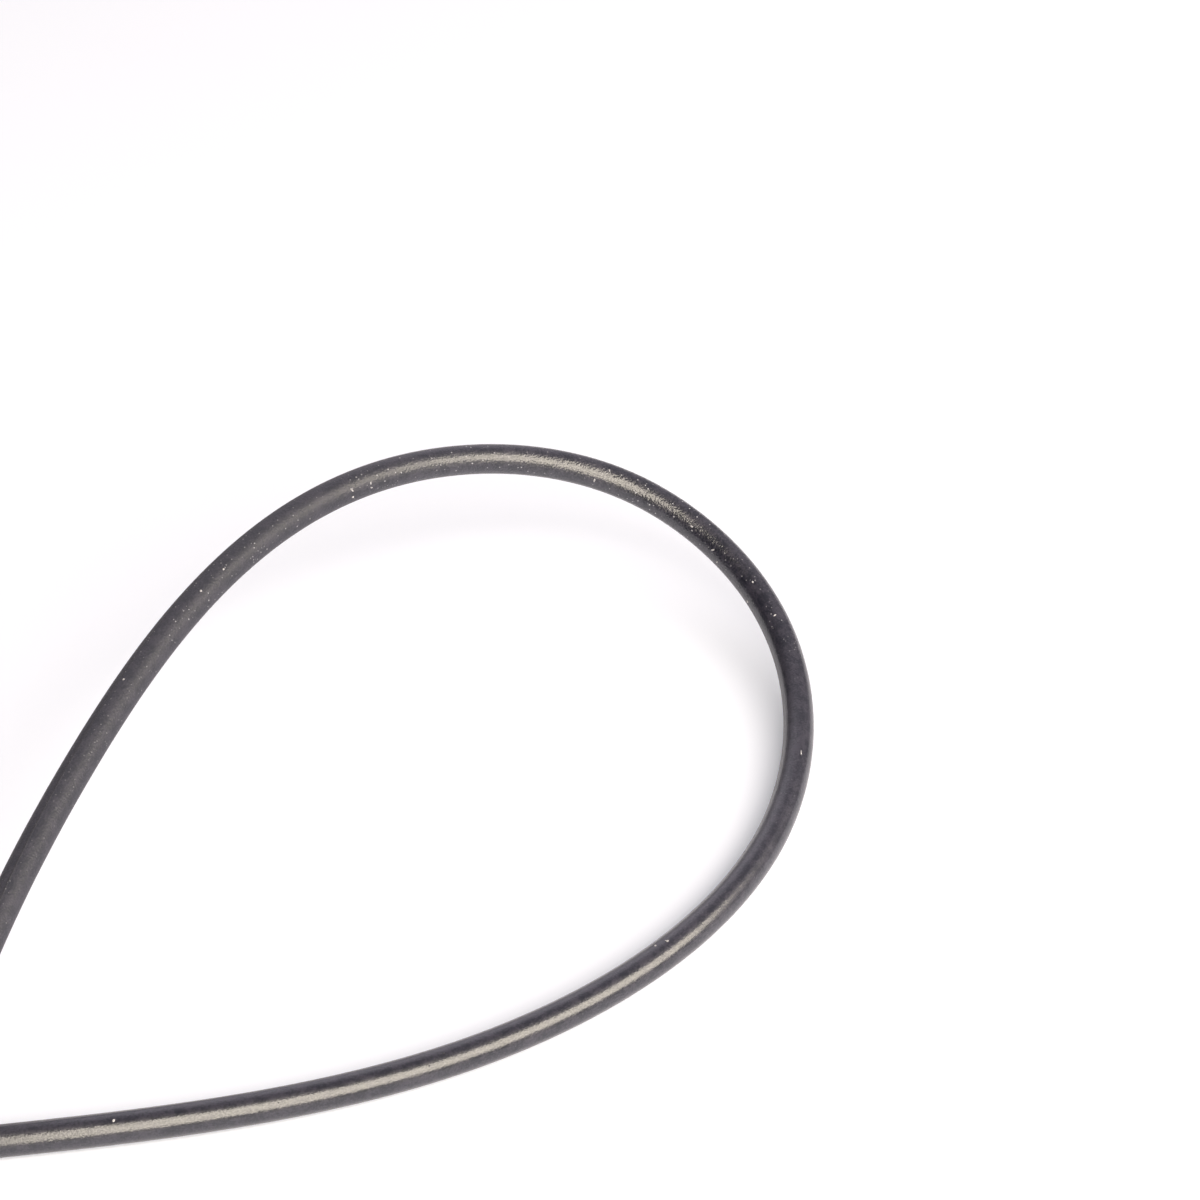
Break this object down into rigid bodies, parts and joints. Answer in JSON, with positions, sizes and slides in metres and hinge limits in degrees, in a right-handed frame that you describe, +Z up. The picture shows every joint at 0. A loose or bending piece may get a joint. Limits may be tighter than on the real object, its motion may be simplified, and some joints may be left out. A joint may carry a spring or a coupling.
{
  "type": "rubber o-ring",
  "caption": "Black rubber O-ring of round section, twisted over itself on a bench into a flat loop and a raised loop; seals a joint against fluid.",
  "frame": {"origin": "on the bench, under the middle of the outline of the ring as it lies", "axes": "+X from the flat loop along to the raised loop, +Y to the side where the raised loop leans up, +Z up from the bench"},
  "size_m": [0.238, 0.0868, 0.0235],
  "materials": {
    "black_rubber": "moulded nitrile rubber, satin and nearly black, with fine dust on it"
  },
  "bodies": {
    "root": {"o_ring": "black_rubber"}
  },
  "joints": []
}
